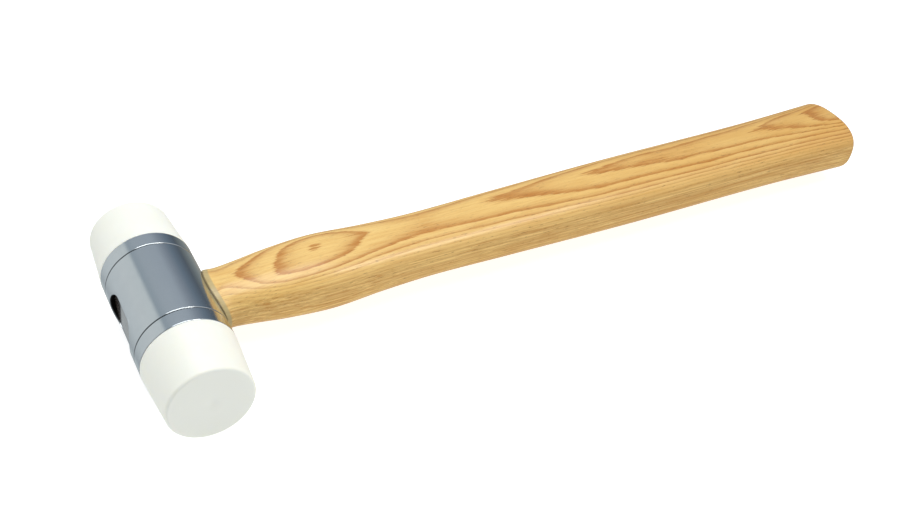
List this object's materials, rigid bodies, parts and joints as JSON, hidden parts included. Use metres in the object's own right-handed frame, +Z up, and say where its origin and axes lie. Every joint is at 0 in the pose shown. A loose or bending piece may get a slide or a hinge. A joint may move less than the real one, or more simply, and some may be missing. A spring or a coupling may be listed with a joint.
{
  "type": "dead blow mallet",
  "caption": "Dead blow mallet: plated steel tube head filled with loose shot, screw-in nylon striking faces, and a hardwood handle wedged in an oval eye.",
  "frame": {"origin": "centre of the underside of the whole mallet's box as it lies on its side; the head's centre is 157 mm from it towards -X and 17.5 mm up", "axes": "+X along the handle towards its butt, Y along the head with the front face at -Y and the rear face at +Y, +Z up from the surface it lies on"},
  "size_m": [0.349, 0.0988, 0.035],
  "materials": {
    "tube_steel": "bright plated",
    "plug_steel": "bright plated",
    "sleeve_steel": "drawn",
    "nylon": "satin moulded",
    "ring_rubber": "matte",
    "shot_steel": "rolled",
    "handle_wood": "clear lacquer",
    "wedge_wood": "raw",
    "wedge_steel": "oiled"
  },
  "bodies": {
    "head": {"head_tube": "tube_steel", "eye_sleeve": "sleeve_steel", "front_end_plug": "plug_steel", "rear_end_plug": "plug_steel", "handle": "handle_wood", "wooden_wedge": "wedge_wood", "steel_wedge": "wedge_steel"},
    "front_turn": {"front_lock_ring": "ring_rubber"},
    "front_insert": {"front_face": "nylon"},
    "rear_turn": {"rear_lock_ring": "ring_rubber"},
    "rear_insert": {"rear_face": "nylon"},
    "shot_charge": {"upper_shot": "shot_steel", "lower_shot": "shot_steel"}
  },
  "joints": [
    {"name": "front_face_turn", "type": "hinge", "parent": "head", "child": "front_turn", "pos_m": [-0.157, -0.02575, 0.0175], "axis": [0, -1, 0], "range_deg": [0, 1980]},
    {"name": "front_face_advance", "type": "slide", "parent": "front_turn", "child": "front_insert", "axis": [0, -1, 0], "range_m": [0, 0.0111]},
    {"name": "rear_face_turn", "type": "hinge", "parent": "head", "child": "rear_turn", "pos_m": [-0.157, 0.02575, 0.0175], "axis": [0, 1, 0], "range_deg": [0, 1980]},
    {"name": "rear_face_advance", "type": "slide", "parent": "rear_turn", "child": "rear_insert", "axis": [0, 1, 0], "range_m": [0, 0.0111]},
    {"name": "shot_shift", "type": "slide", "parent": "head", "child": "shot_charge", "axis": [0, 1, 0], "range_m": [-0.002, 0.002]}
  ],
  "couplings": [
    {"joint": "front_face_advance", "follows": "front_face_turn", "m_per_rad": 0.00031831},
    {"joint": "rear_face_advance", "follows": "rear_face_turn", "m_per_rad": 0.00031831}
  ]
}
